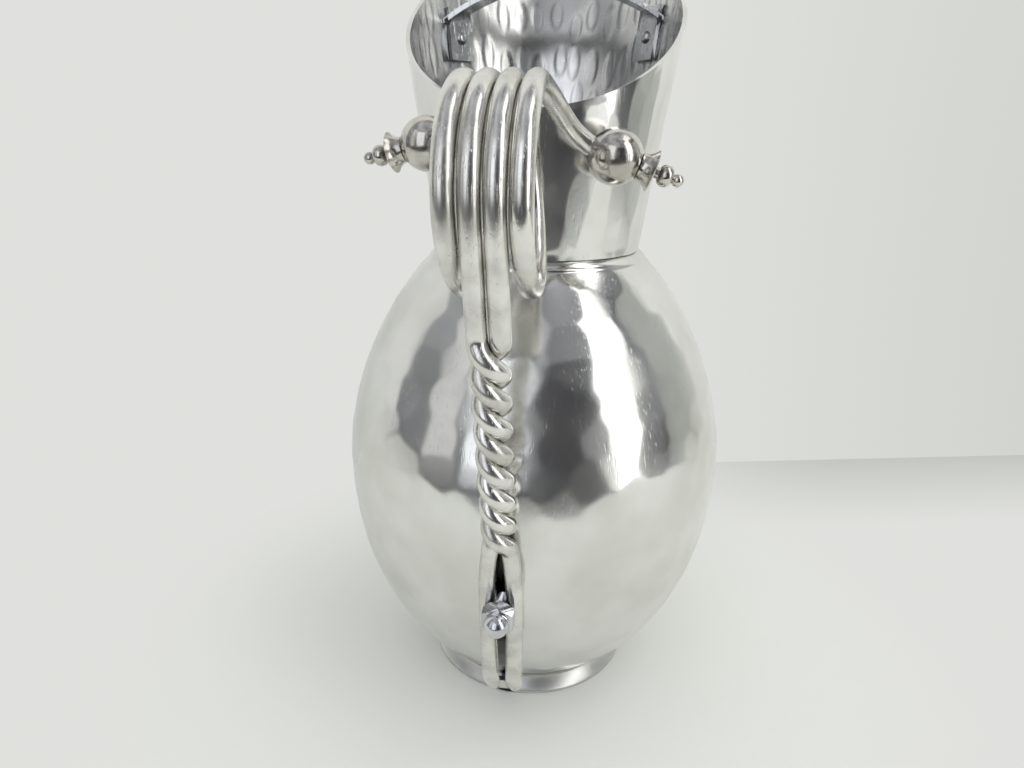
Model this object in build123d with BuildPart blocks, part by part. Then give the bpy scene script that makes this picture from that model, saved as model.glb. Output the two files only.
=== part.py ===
from build123d import *
from math import atan, cos, hypot, pi, radians, sin, sqrt, tan
import os

# Water pitcher in hand-hammered aluminium, sizes in millimetres.
# The origin is on the body's axis at table level, +Z is up.
# The handle stands towards -Y and the spout towards +Y.

# Body: a spun ovoid on a foot ring
body_radius_max = 80.0
body_widest_height = 103.4
waist_radius = 40.7
waist_height = 189.0
base_radius = 42.8
base_height = 9.8
upper_fullness = 1.65
lower_fullness = 2.19
body_wall = 1.6
base_corner_radius = 3.0
base_recess = 1.8
collar_height = 7.0

# Foot ring
foot_radius = 44.6
foot_wall = 1.5
foot_hem_width = 3.2
foot_hem_height = 2.2
foot_flange_width = 9.0
foot_shoulder = 1.0
foot_hem_lip = 0.9

# Neck: a flared cone cut on a slant, with a pulled lip opposite the handle
neck_flare = 0.1416
neck_wall = 1.6
rim_low_height = 240.0
rim_slope = 0.667
spout_start_height = 236.0
spout_reach = 9.8
spout_growth = 2.0
spout_half_width = 50.0
rim_bend_reach = 22.0
lip_reach = 84.0
lip_height = 302.0
lip_allowance = 28.0

# Ice guard: a riveted strap that bridges the spout inside the neck
guard_azimuth = 128.0
guard_tab_width = 12.0
guard_tab_low = 262.0
guard_tab_high = 282.0
guard_thickness = 1.8
guard_rise = 9.5
guard_drop = 10.0
guard_overrun = 12.0
guard_tab_depth = 20.0
rivet_height = 270.0
rivet_shank = 3.2
rivet_head = 4.8
rivet_head_rise = 1.4
rivet_flat = 0.4

# Handle: two round rods, each with one full loop, then a twist of two strands
rod_diameter = 6.35
strand_gap = 0.3
loop_radius = 28.0
loop_centre_height = 217.0
loop_corners = 8
shaft_lean = 15.1
lower_bend_height = 99.0
twist_turns = 4
twist_corners = 8
twist_top_height = 176.0
handle_end_height = 25.6
handle_seat_height = 80.0
arm_straight = 13.0
rod_socket_depth = 4.5
lane_shift_start = 170.0
lane_shift_angle = 150.0
bend_share = 0.47
end_overrun = 2.0
end_cut_angle = 25.0
rod_gap_at_twist = 2.3
rod_gap_at_bolt = 4.2
rod_gap_at_end = 1.7
spread_height = 90.0
end_weld_width = 4.4
end_weld_height = 9.0

# Ball finials on the neck, one each side: azimuth from the handle, height, droop of the axis
ball_diameter = 18.5
ball_places = {"left": (36.5, 228.4, 13.4), "right": (33.4, 225.2, 19.2)}
finial_azimuth = 94.0
cup_waist_radius = 4.4
cup_rim_radius = 6.9
cup_wall = 0.9
cup_rim_offset = 13.0
cup_rim_width = 0.3
cup_bend_offset = 2.9
cup_bend_rise = 0.5
bead_offset = 17.6
bead_radius = 3.65
bead_thickness = 4.7
tip_offset = 21.9
tip_radius = 2.15
stem_radius = 1.6
stem_depth = 6.0
stem_collar_radius = 2.8
stem_collar_height = 0.8
stem_neck_radius = 1.9

# Fasteners
bolt_height = 72.0
bolt_diameter = 6.35
bolt_head_diameter = 11.5
bolt_head_height = 3.2
nut_across_flats = 11.1
nut_hex_height = 5.2
nut_dome_radius = 4.7
nut_dome_base = 1.3
nut_thread_depth = 8.0
nut_chamfer = 0.7
seal_diameter = 16.0
seal_thickness = 1.5
screw_diameter = 4.0
screw_head_diameter = 7.4
screw_head_height = 2.4
screw_depth_in_ball = 4.2
screw_slot = 1.0
screw_head_taper = 14.0
bolt_slot_width = 1.4
bolt_slot_depth = 1.5
bolt_head_taper = 16.0
washer_diameter = 9.0
washer_thickness = 0.8

# Clearances
seat_gap = 0.3
fit_gap = 0.1
press_gap = 0.15

rod_radius = rod_diameter / 2
ball_radius = ball_diameter / 2
lane = rod_diameter + strand_gap
neck_angle = atan(neck_flare)
sides = {"left": -1, "right": 1}


def body_radius(height):
    """Outside radius of the body: a super-ellipse above and below its widest height."""
    if height > body_widest_height:
        reach = waist_height - body_widest_height
        fullness = upper_fullness
        end_radius = waist_radius
    else:
        reach = body_widest_height - base_height
        fullness = lower_fullness
        end_radius = base_radius
    full_reach = reach / (1 - (end_radius / body_radius_max) ** 2) ** (1 / fullness)
    share = abs(height - body_widest_height) / full_reach
    return body_radius_max * sqrt(1 - share**fullness)


def neck_radius(height):
    """Outside radius of the neck's cone."""
    return waist_radius + neck_flare * (height - waist_height)


def polar(azimuth, radius, height):
    """Point at an azimuth in degrees, counted from the handle towards the right side."""
    turn = radians(azimuth)
    return Vector(radius * sin(turn), -radius * cos(turn), height)


def across(direction):
    """Horizontal direction square to another one."""
    return Vector(0, 0, 1).cross(direction).normalized()


def turning_plane(origin, direction):
    """Plane for a turned profile: x runs along the axis and y is the radius."""
    return Plane(origin=origin, x_dir=direction, z_dir=across(direction))


def body_outline(offset):
    """Points up the body's side, offset inwards, from the base to the waist."""
    steps = 9
    rise = waist_height - base_height
    heights = [base_height + rise * step / steps for step in range(steps + 1)]
    points = []
    for height in heights:
        below = max(height - 1, base_height)
        above = min(height + 1, waist_height)
        slope = (body_radius(above) - body_radius(below)) / (above - below)
        shrink = offset / hypot(1, slope)
        points.append((body_radius(height) - shrink, height + shrink * slope))
    return points


# Places on the neck: balls, their axes and screws, and the ice guard's rivets
ball_centres = {}
finial_axes = {}
screw_axes = {}
for name, (azimuth, height, droop) in ball_places.items():
    side = sides[name]
    stand_off = (ball_radius + seat_gap) / cos(neck_angle)
    ball_centres[name] = polar(side * azimuth, neck_radius(height) + stand_off, height)
    finial_axes[name] = polar(side * finial_azimuth, cos(radians(droop)), -sin(radians(droop)))
    screw_axes[name] = -polar(side * azimuth, cos(neck_angle), -sin(neck_angle))
rivet_places = {}
rivet_axes = {}
for name, side in sides.items():
    rivet_places[name] = polar(side * guard_azimuth, neck_radius(rivet_height), rivet_height)
    rivet_axes[name] = polar(side * guard_azimuth, cos(neck_angle), -sin(neck_angle))

# Handle lines: the lower rods lie along the body, the shaft leans out from them to the loops
seat_slope = (body_radius(handle_seat_height + 1) - body_radius(handle_seat_height - 1)) / 2
lower_lean = atan(seat_slope)
shaft_tilt = radians(shaft_lean)
shaft_up = Vector(0, -sin(shaft_tilt), cos(shaft_tilt))
shaft_in = Vector(0, cos(shaft_tilt), sin(shaft_tilt))


def lower_line(height):
    """Centre of the pair of lower rods at a height: a line that touches the body."""
    reach = body_radius(handle_seat_height) + (rod_radius + seat_gap) / cos(lower_lean)
    return Vector(0, -reach - seat_slope * (height - handle_seat_height), height)


lower_bend = lower_line(lower_bend_height)
shaft_run = (loop_centre_height - lower_bend_height - loop_radius * sin(shaft_tilt)) / cos(shaft_tilt)
loop_centre = lower_bend + shaft_up * shaft_run + shaft_in * loop_radius
twist_run = (twist_top_height - lower_bend_height) / cos(shaft_tilt)
bolt_axis = Vector(0, -cos(lower_lean), -sin(lower_lean))
bolt_place = lower_line(bolt_height)
wall_run = 0.0
for repeat in range(20):
    wall_height = bolt_height + wall_run * sin(lower_lean)
    wall_run = (-bolt_place.Y - body_radius(wall_height)) / cos(lower_lean)


# Body shell: one spun piece with a closed bottom and a collar that carries the neck
os.makedirs("parts", exist_ok=True)
outer_line = body_outline(0)
inner_line = body_outline(body_wall)
collar_outer = waist_radius - neck_wall - press_gap
collar_inner = collar_outer - body_wall
bottom_height = base_height - base_recess
with BuildPart() as body_shell:
    with BuildSketch(Plane.XZ):
        with BuildLine():
            Spline(*outer_line)
            Polyline(
                outer_line[-1],
                (collar_outer, waist_height),
                (collar_outer, waist_height + collar_height),
                (collar_inner, waist_height + collar_height),
                (collar_inner, inner_line[-1][1] + body_wall / 2),
                inner_line[-1],
            )
            Spline(*reversed(inner_line))
            Polyline(
                inner_line[0],
                (0, bottom_height + body_wall),
                (0, bottom_height),
                (base_radius - base_corner_radius, bottom_height),
                outer_line[0],
            )
        make_face()
    revolve(axis=Axis.Z)
    with BuildSketch(Plane(origin=bolt_place, z_dir=-bolt_axis)):
        Circle(bolt_diameter / 2 + fit_gap)
    extrude(amount=wall_run + 6 * body_wall, mode=Mode.SUBTRACT)

# Foot ring: a low spun ring with a hemmed edge, its flange flat under the body's bottom
foot_top = bottom_height
flange_inner = base_radius - foot_flange_width
with BuildPart() as foot_ring:
    with BuildSketch(Plane.XZ):
        with BuildLine():
            Polyline(
                (flange_inner, foot_top),
                (base_radius - base_corner_radius, foot_top),
                (base_radius - foot_shoulder, foot_top - foot_shoulder),
                (foot_radius - foot_hem_lip, foot_hem_height),
                (foot_radius, foot_hem_height),
                (foot_radius, 0),
                (foot_radius - foot_hem_width, 0),
                (foot_radius - foot_hem_width, foot_hem_height),
                (base_radius - foot_shoulder - foot_wall, foot_top - foot_wall),
                (flange_inner, foot_top - foot_wall),
                close=True,
            )
        make_face()
    revolve(axis=Axis.Z)


def neck_section(height, inset):
    """Closed outline of the neck at a height: a circle that swells into the spout."""
    radius = neck_radius(height) - inset
    share = max(0.0, (height - spout_start_height) / (lip_height - spout_start_height))
    points = []
    for azimuth in range(0, 360, 10):
        away = min(1.0, abs(azimuth - 180) / spout_half_width)
        bulge = spout_reach * share**spout_growth * cos(away * pi / 2) ** 2
        points.append(polar(azimuth, radius + bulge, height))
    with BuildSketch(Plane.XY.offset(height)) as section:
        with BuildLine():
            Spline(*[(point.X, point.Y) for point in points], periodic=True)
        make_face()
    return section.sketch


# Neck: a flared cone that slips over the collar, cut on a slant and pulled out at the spout
neck_bottom = waist_height + seat_gap
neck_top = lip_height + lip_allowance
neck_levels = [neck_bottom, (neck_bottom + spout_start_height) / 2]
for step in range(6):
    neck_levels.append(spout_start_height + step / 5 * (neck_top - spout_start_height))
outer_sections = [neck_section(level, 0) for level in neck_levels]
inner_sections = [neck_section(level, neck_wall) for level in neck_levels]


def rim_point(reach):
    """Point of the rim's slanted line, seen from the side, at a reach from the axis."""
    return (reach, rim_low_height + rim_slope * (neck_radius(rim_low_height) + reach))


with BuildPart() as neck:
    loft(outer_sections)
    loft(inner_sections, mode=Mode.SUBTRACT)
    with BuildSketch(Plane.YZ):
        with BuildLine():
            slant = Line(rim_point(-body_radius_max), rim_point(rim_bend_reach))
            lip = TangentArc(slant @ 1, (lip_reach, lip_height), tangent=slant % 1)
            Polyline(
                lip @ 1,
                (lip_reach, 2 * neck_top),
                (-body_radius_max, 2 * neck_top),
                slant @ 0,
            )
        make_face()
    extrude(amount=body_radius_max, both=True, mode=Mode.SUBTRACT)
    for name in sides:
        with BuildSketch(Plane(origin=ball_centres[name], z_dir=screw_axes[name])):
            Circle(screw_diameter / 2 + fit_gap)
        extrude(amount=2 * ball_radius, mode=Mode.SUBTRACT)
        with BuildSketch(Plane(origin=rivet_places[name], z_dir=rivet_axes[name])):
            Circle(rivet_shank / 2 + fit_gap)
        extrude(amount=3 * neck_wall, both=True, mode=Mode.SUBTRACT)

# Ice guard: a strap with a tab at each end that follows the wall, arched across the spout
tab_outer = neck_wall + press_gap
tab_inner = tab_outer + guard_thickness
tab_middle = (guard_tab_low + guard_tab_high) / 2
tab_height = guard_tab_high - guard_tab_low
strap_place = polar(guard_azimuth, neck_radius(guard_tab_high) - tab_inner, guard_tab_high)
strap_top = guard_tab_high - guard_thickness / 2
with BuildPart() as ice_guard:
    with BuildSketch(Plane.XZ):
        with BuildLine():
            Polyline(
                (neck_radius(guard_tab_low) - tab_outer, guard_tab_low),
                (neck_radius(guard_tab_high) - tab_outer, guard_tab_high),
                (neck_radius(guard_tab_high) - tab_inner, guard_tab_high),
                (neck_radius(guard_tab_low) - tab_inner, guard_tab_low),
                close=True,
            )
        make_face()
    revolve(axis=Axis.Z)
    tab_planes = []
    for side in sides.values():
        tab_place = polar(side * guard_azimuth, neck_radius(tab_middle), tab_middle)
        tab_planes.append(Plane(tab_place, x_dir=(0, 0, 1), z_dir=polar(side * guard_azimuth, 1, 0)))
    with Locations(*tab_planes):
        Box(2 * tab_height, guard_tab_width, guard_tab_depth, mode=Mode.INTERSECT)
    with BuildSketch(Plane.XZ.offset(-strap_place.Y)):
        with BuildLine():
            ThreePointArc(
                (-strap_place.X - guard_overrun, strap_top - guard_drop),
                (0, strap_top + guard_rise),
                (strap_place.X + guard_overrun, strap_top - guard_drop),
            )
            offset(amount=guard_thickness / 2)
        make_face()
    extrude(amount=guard_tab_width / 2, both=True)
    with BuildSketch(Plane.XZ):
        with BuildLine():
            Polyline(
                (0, guard_tab_low),
                (neck_radius(guard_tab_low) - tab_outer, guard_tab_low),
                (neck_radius(neck_top) - tab_outer, neck_top),
                (0, neck_top),
                close=True,
            )
        make_face()
    revolve(axis=Axis.Z, mode=Mode.INTERSECT)
    for name in sides:
        with BuildSketch(Plane(origin=rivet_places[name], z_dir=rivet_axes[name])):
            Circle(rivet_shank / 2 + fit_gap)
        extrude(amount=3 * tab_inner, both=True, mode=Mode.SUBTRACT)

# Ice guard rivets: a domed head on the tab and a set head outside the wall
with BuildPart() as ice_guard_rivets:
    for name in sides:
        with BuildSketch(turning_plane(rivet_places[name], rivet_axes[name])):
            with BuildLine():
                inner_face = -tab_inner - press_gap
                outer_face = press_gap + seat_gap
                Line((inner_face - rivet_head_rise, 0), (inner_face - rivet_head_rise, rivet_flat))
                ThreePointArc(
                    (inner_face - rivet_head_rise, rivet_flat),
                    (inner_face - rivet_head_rise * 0.7, rivet_head * 0.36),
                    (inner_face, rivet_head / 2),
                )
                Polyline(
                    (inner_face, rivet_head / 2),
                    (inner_face, rivet_shank / 2),
                    (outer_face, rivet_shank / 2),
                    (outer_face, rivet_head / 2),
                )
                ThreePointArc(
                    (outer_face, rivet_head / 2),
                    (outer_face + rivet_head_rise * 0.7, rivet_head * 0.36),
                    (outer_face + rivet_head_rise, rivet_flat),
                )
                Polyline(
                    (outer_face + rivet_head_rise, rivet_flat),
                    (outer_face + rivet_head_rise, 0),
                    (inner_face - rivet_head_rise, 0),
                )
            make_face()
        revolve(axis=Axis(rivet_places[name], rivet_axes[name]))


def loop_corner(angle, reach, sideways):
    """Corner of the polygon round a loop, its angle counted from the top towards the front."""
    turn = radians(angle)
    return loop_centre + Vector(sideways, -reach * sin(turn), reach * cos(turn))


def rod_route(name):
    """Corners of one rod: ball, arm, loop, twist and the straight run down to its end."""
    side = sides[name]
    centre = ball_centres[name]
    axis = finial_axes[name]
    points = [centre - axis * (ball_radius - rod_socket_depth), centre - axis * arm_straight]
    step = 360 / loop_corners
    corner_reach = loop_radius / cos(radians(step / 2))
    for corner in range(loop_corners + 3):
        angle = (corner - 0.5) * step
        share = min(1.0, max(0.0, (angle - lane_shift_start) / lane_shift_angle))
        shift = share * share * (3 - 2 * share)
        points.append(loop_corner(angle, corner_reach, side * lane * (1.5 - shift)))
    last_turn = (90 + shaft_lean) / 2 + 45
    last_reach = loop_radius / cos(radians(shaft_lean / 2))
    points.append(loop_corner(last_turn, last_reach, side * lane / 2))
    step = 360 / twist_corners
    corner_reach = (lane / 2) / cos(radians(step / 2))
    start = 0 if side > 0 else 180
    for corner in range(twist_corners * twist_turns + 1):
        turn = radians(start + corner * step)
        run = twist_run * (1 - corner / (twist_corners * twist_turns))
        away = Vector(1, 0, 0) * cos(turn) + shaft_in * sin(turn)
        points.append(lower_bend + shaft_up * run + away * corner_reach)
    for height, gap in (
        (spread_height, rod_gap_at_twist),
        (bolt_height, rod_gap_at_bolt),
        (handle_end_height - end_overrun, rod_gap_at_end),
    ):
        points.append(lower_line(height) + Vector(side * (rod_radius + gap / 2), 0, 0))
    return points


def bend_radii(points):
    """Radius at each inner corner: as large as the runs beside it allow."""
    radii = []
    for before, corner, after in zip(points, points[1:], points[2:]):
        turn = radians((corner - before).get_angle(after - corner))
        run = min((corner - before).length, (after - corner).length)
        radii.append(bend_share * run / tan(turn / 2))
    return radii


# Handle rods: one unbroken rod each, notched for the bolt and ground off at the end
cut_turn = radians(end_cut_angle)
cut_place = lower_line(handle_end_height) + Vector(0, rod_radius, 0)
end_cut = Plane(origin=cut_place, z_dir=(0, -cos(cut_turn), -sin(cut_turn)))
handle_rods = {}
for name in sides:
    route = rod_route(name)
    radii = bend_radii(route)
    with BuildPart() as handle_rod:
        with BuildLine() as rod_line:
            FilletPolyline(*route, radius=radii)
        with BuildSketch(Plane(origin=rod_line.line @ 0, z_dir=rod_line.line % 0)):
            Circle(rod_radius)
        sweep(path=rod_line.line)
        with BuildSketch(Plane(origin=bolt_place, z_dir=bolt_axis)):
            Circle(bolt_diameter / 2 + fit_gap)
        extrude(amount=2 * rod_diameter, both=True, mode=Mode.SUBTRACT)
        split(bisect_by=end_cut, keep=Keep.BOTTOM)
    handle_rods[name] = handle_rod

# Weld that fills the slot between the rods at their end
weld_plane = Plane(origin=lower_line(handle_end_height), x_dir=(1, 0, 0), z_dir=bolt_axis)
with BuildPart() as handle_end_weld:
    with Locations(weld_plane):
        Box(end_weld_width, 2 * end_weld_height, end_weld_width)
    add(handle_rods["left"].part, mode=Mode.SUBTRACT)
    add(handle_rods["right"].part, mode=Mode.SUBTRACT)
    split(bisect_by=end_cut, keep=Keep.BOTTOM)

# Ball finials: a drilled ball, a flared cup and a beaded tip whose stem draws them together
finial_balls = {}
finial_cups = {}
finial_tips = {}
cup_base = sqrt(ball_radius**2 - cup_waist_radius**2) + seat_gap
cup_inner_base = sqrt(ball_radius**2 - (cup_waist_radius - cup_wall) ** 2) + seat_gap
cup_floor = ball_radius + seat_gap
collar_seat = cup_floor + cup_wall
for name in sides:
    centre = ball_centres[name]
    axis = finial_axes[name]
    rod_end = centre - axis * (ball_radius - rod_socket_depth)
    with BuildPart() as finial_ball:
        with Locations(Plane(centre, x_dir=-screw_axes[name], z_dir=axis)):
            Sphere(ball_radius)
        with BuildSketch(Plane(origin=rod_end, z_dir=-axis)):
            Circle(rod_radius + fit_gap)
        extrude(amount=ball_radius, mode=Mode.SUBTRACT)
        with BuildSketch(Plane(origin=centre + axis * (ball_radius - stem_depth), z_dir=axis)):
            Circle(stem_radius + fit_gap)
        extrude(amount=ball_radius, mode=Mode.SUBTRACT)
        screw_end = centre + screw_axes[name] * (ball_radius - screw_depth_in_ball)
        with BuildSketch(Plane(origin=screw_end, z_dir=screw_axes[name])):
            Circle(screw_diameter / 2 + fit_gap)
        extrude(amount=ball_radius, mode=Mode.SUBTRACT)
    finial_balls[name] = finial_ball
    with BuildPart() as finial_cup:
        with BuildSketch(turning_plane(centre, axis)):
            with BuildLine():
                Polyline(
                    (collar_seat, stem_radius + fit_gap),
                    (cup_floor, stem_radius + fit_gap),
                    (cup_floor, cup_waist_radius - cup_wall - 0.2),
                    (cup_inner_base, cup_waist_radius - cup_wall),
                    (cup_base, cup_waist_radius),
                )
                ThreePointArc(
                    (cup_base, cup_waist_radius),
                    (cup_base + cup_bend_offset, cup_waist_radius + cup_bend_rise),
                    (cup_rim_offset, cup_rim_radius),
                )
                rim_edge = (cup_rim_offset + cup_rim_width, cup_rim_radius - cup_rim_width)
                Line((cup_rim_offset, cup_rim_radius), rim_edge)
                ThreePointArc(
                    rim_edge,
                    (cup_base + cup_bend_offset + 0.4, cup_waist_radius + cup_bend_rise - cup_wall),
                    (collar_seat, cup_waist_radius - cup_wall),
                )
                Line((collar_seat, cup_waist_radius - cup_wall), (collar_seat, stem_radius + fit_gap))
            make_face()
        revolve(axis=Axis(centre, axis))
    finial_cups[name] = finial_cup
    bead_half = bead_thickness / 2
    with BuildPart() as finial_tip:
        with BuildSketch(turning_plane(centre, axis)):
            with BuildLine():
                Polyline(
                    (tip_offset + tip_radius, 0),
                    (ball_radius - stem_depth + seat_gap, 0),
                    (ball_radius - stem_depth + seat_gap, stem_radius),
                    (collar_seat, stem_radius),
                    (collar_seat, stem_collar_radius),
                    (collar_seat + stem_collar_height, stem_collar_radius),
                    (collar_seat + 2 * stem_collar_height, stem_neck_radius),
                    (bead_offset - bead_half, stem_neck_radius),
                )
                ThreePointArc(
                    (bead_offset - bead_half, stem_neck_radius),
                    (bead_offset, bead_radius),
                    (bead_offset + bead_half, stem_neck_radius),
                )
                Line(
                    (bead_offset + bead_half, stem_neck_radius),
                    (tip_offset - tip_radius * 0.8, tip_radius * 0.6),
                )
                ThreePointArc(
                    (tip_offset - tip_radius * 0.8, tip_radius * 0.6),
                    (tip_offset, tip_radius),
                    (tip_offset + tip_radius, 0),
                )
            make_face()
        revolve(axis=Axis(centre, axis))
    finial_tips[name] = finial_tip

# Screws from inside the neck into the balls, each with a washer on the curved wall
wall_face = ball_radius + seat_gap + neck_wall
washer_seat = wall_face + (washer_diameter / 2) ** 2 / (2 * waist_radius) + press_gap
with BuildPart() as finial_washers:
    for name in sides:
        washer_place = ball_centres[name] + screw_axes[name] * washer_seat
        with BuildSketch(Plane(origin=washer_place, z_dir=screw_axes[name])):
            Circle(washer_diameter / 2)
            Circle(screw_diameter / 2 + fit_gap, mode=Mode.SUBTRACT)
        extrude(amount=washer_thickness)
with BuildPart() as finial_screws:
    for name in sides:
        screw_axis = screw_axes[name]
        head_place = ball_centres[name] + screw_axis * (washer_seat + washer_thickness)
        shank_length = washer_seat + washer_thickness - ball_radius + screw_depth_in_ball - seat_gap
        with BuildSketch(Plane(origin=head_place, z_dir=-screw_axis)):
            Circle(screw_diameter / 2)
        extrude(amount=shank_length)
        with BuildSketch(Plane(origin=head_place, z_dir=screw_axis)):
            Circle(screw_head_diameter / 2)
        extrude(amount=screw_head_height, taper=screw_head_taper)
        with BuildSketch(Plane(origin=head_place + screw_axis * screw_head_height, z_dir=-screw_axis)):
            Rectangle(screw_head_diameter, screw_slot)
        extrude(amount=screw_slot, mode=Mode.SUBTRACT)

# Bolt through the body wall, with a sealing washer inside and an acorn nut on the rods
wall_slope = (body_radius(bolt_height + 1) - body_radius(bolt_height - 1)) / 2
seal_tilt = seal_diameter / 2 * abs(wall_slope - seat_slope)
seal_bow = (seal_diameter / 2) ** 2 / (2 * body_radius(bolt_height))
seal_seat = wall_run + body_wall + seal_bow + seal_tilt + press_gap
head_seat = seal_seat + seal_thickness
nut_seat = rod_radius + press_gap
with BuildPart() as bolt_sealing_washer:
    with BuildSketch(Plane(origin=bolt_place - bolt_axis * seal_seat, z_dir=-bolt_axis)):
        Circle(seal_diameter / 2)
        Circle(bolt_diameter / 2 + fit_gap, mode=Mode.SUBTRACT)
    extrude(amount=seal_thickness)
with BuildPart() as handle_bolt:
    with BuildSketch(Plane(origin=bolt_place - bolt_axis * head_seat, z_dir=bolt_axis)):
        Circle(bolt_diameter / 2)
    extrude(amount=head_seat + nut_seat + nut_thread_depth - seat_gap)
    with BuildSketch(Plane(origin=bolt_place - bolt_axis * head_seat, z_dir=-bolt_axis)):
        Circle(bolt_head_diameter / 2)
    extrude(amount=bolt_head_height, taper=bolt_head_taper)
    slot_place = bolt_place - bolt_axis * (head_seat + bolt_head_height)
    with BuildSketch(Plane(origin=slot_place, x_dir=(1, 0, 0), z_dir=bolt_axis)):
        Rectangle(bolt_head_diameter, bolt_slot_width)
    extrude(amount=bolt_slot_depth, mode=Mode.SUBTRACT)
nut_corner_radius = nut_across_flats / 2 / cos(radians(30))
nut_base = bolt_place + bolt_axis * nut_seat
nut_dome_centre = nut_hex_height + nut_dome_base
nut_top = nut_dome_centre + nut_dome_radius
dome_shoulder = nut_dome_radius * cos(radians(45))
with BuildPart() as cap_nut:
    with BuildSketch(turning_plane(nut_base, bolt_axis)):
        with BuildLine():
            Polyline(
                (nut_top, 0),
                (0, 0),
                (0, nut_across_flats / 2 - 0.2),
                (nut_chamfer, nut_corner_radius + 0.3),
                (nut_hex_height - nut_chamfer, nut_corner_radius + 0.3),
                (nut_hex_height, nut_dome_radius + 0.4),
                (nut_hex_height + 0.3, nut_dome_radius),
                (nut_dome_centre, nut_dome_radius),
            )
            ThreePointArc(
                (nut_dome_centre, nut_dome_radius),
                (nut_dome_centre + dome_shoulder, dome_shoulder),
                (nut_top, 0),
            )
        make_face()
    revolve(axis=Axis(nut_base, bolt_axis))
    with BuildSketch(Plane(origin=nut_base, x_dir=(1, 0, 0), z_dir=bolt_axis)):
        RegularPolygon(nut_corner_radius, 6)
    extrude(amount=nut_top + 1, mode=Mode.INTERSECT)
    with BuildSketch(Plane(origin=nut_base, z_dir=bolt_axis)):
        Circle(bolt_diameter / 2 + fit_gap)
    extrude(amount=nut_thread_depth, mode=Mode.SUBTRACT)

# Every piece is written under its own name
pieces = {
    "body_shell": body_shell,
    "foot_ring": foot_ring,
    "neck": neck,
    "ice_guard": ice_guard,
    "ice_guard_rivets": ice_guard_rivets,
    "handle_rod_left": handle_rods["left"],
    "handle_rod_right": handle_rods["right"],
    "handle_end_weld": handle_end_weld,
    "finial_ball_left": finial_balls["left"],
    "finial_ball_right": finial_balls["right"],
    "finial_cup_left": finial_cups["left"],
    "finial_cup_right": finial_cups["right"],
    "finial_tip_left": finial_tips["left"],
    "finial_tip_right": finial_tips["right"],
    "finial_screws": finial_screws,
    "finial_washers": finial_washers,
    "handle_bolt": handle_bolt,
    "bolt_sealing_washer": bolt_sealing_washer,
    "cap_nut": cap_nut,
}
for name, piece in pieces.items():
    piece.part.label = name
    export_step(piece.part, f"parts/{name}.step")
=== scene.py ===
import bmesh
import bpy
import numpy as np
from mathutils import Matrix, Vector


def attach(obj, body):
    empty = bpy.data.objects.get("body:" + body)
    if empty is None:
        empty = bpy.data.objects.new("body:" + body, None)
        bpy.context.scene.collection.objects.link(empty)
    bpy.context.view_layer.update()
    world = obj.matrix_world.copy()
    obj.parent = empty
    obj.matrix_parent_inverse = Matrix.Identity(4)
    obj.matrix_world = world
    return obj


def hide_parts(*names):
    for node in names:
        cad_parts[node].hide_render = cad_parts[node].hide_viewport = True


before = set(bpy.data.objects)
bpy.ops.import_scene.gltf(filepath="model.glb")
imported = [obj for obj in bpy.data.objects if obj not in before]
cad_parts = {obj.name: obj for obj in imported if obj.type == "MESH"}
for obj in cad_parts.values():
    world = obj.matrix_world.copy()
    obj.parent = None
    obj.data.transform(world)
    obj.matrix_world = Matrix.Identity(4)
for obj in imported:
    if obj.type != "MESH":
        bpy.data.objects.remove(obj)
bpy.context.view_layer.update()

# Body: an aluminium disc spun to an ovoid and planished all over with a flat-faced hammer.
# The overlapping blows leave soft facets about a finger's width across. A short collar stands
# at the waist above a small rolled bead, and the bottom is closed.
widest_radius = 0.0800
widest_height = 0.1034
waist_radius = 0.0407
waist_height = 0.1890
base_radius = 0.0428
base_height = 0.0098
body_wall = 0.0016
collar_radius = 0.0389
collar_top = 0.1960
bottom_height = 0.0080
blow_spacing = 0.0128
blow_flatness = 0.68
blow_softness = 0.000012
blow_depth_limit = 0.0003
blow_depth_spread = 0.00006
first_blow_rise = 0.0040
blow_step_aside = 0.30
blow_step_up = 0.25
blow_overlap = 0.92
blow_fade_height = 0.0040
inside_offset = 0.0020
bottom_flat_radius = 0.0200
bottom_flat_margin = 0.0030
bottom_corner = 0.0008
bead_height = 0.1874
bead_half_height = 0.0015
bead_swell = 0.0007
# Painted shade: the slot between the lower rods is painted nearly black on the body and the foot.
rod_slot_shade_half_width = 0.0048
rod_slot_shade_top = 0.1000
rod_slot_shade_bend = 0.0600
rod_slot_shade_shift = 0.0040
rod_slot_shade_narrowing = 0.3
rod_slot_shade_fade = 0.0040
rod_slot_shade_colour = (0.03, 0.03, 0.03)


def body_radius(height):
    """Radius of the ovoid: a super-ellipse with its own fullness above and below the widest height."""
    above = height > widest_height
    fullness = np.where(above, 1.65, 2.19)
    end_radius = np.where(above, waist_radius, base_radius)
    reach = np.where(above, waist_height - widest_height, widest_height - base_height)
    full_reach = reach / (1 - (end_radius / widest_radius) ** 2) ** (1 / fullness)
    share = np.abs(height - widest_height) / full_reach
    return widest_radius * np.sqrt(1 - share**fullness)


def round_points(radii, round_turns, heights):
    """Points about the upright axis at these radii, turns and heights."""
    across, along = radii * np.cos(round_turns), radii * np.sin(round_turns)
    return np.stack(np.broadcast_arrays(across, along, heights), -1)


def facets(points, blows, stretch, flatness, softness, spread):
    """Height of the ridges between blows: the soft minimum of the squared distances to the blows."""
    scale = np.array([1, 1, stretch])
    total = np.zeros(points.shape[:-1])
    for row, offsets in blows:
        gaps = (points[..., None, :] - row) * scale
        heights = flatness * (gaps**2).sum(-1) / spread + offsets
        total += np.exp(-heights / softness).sum(-1)
    return -softness * np.log(total)


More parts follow.
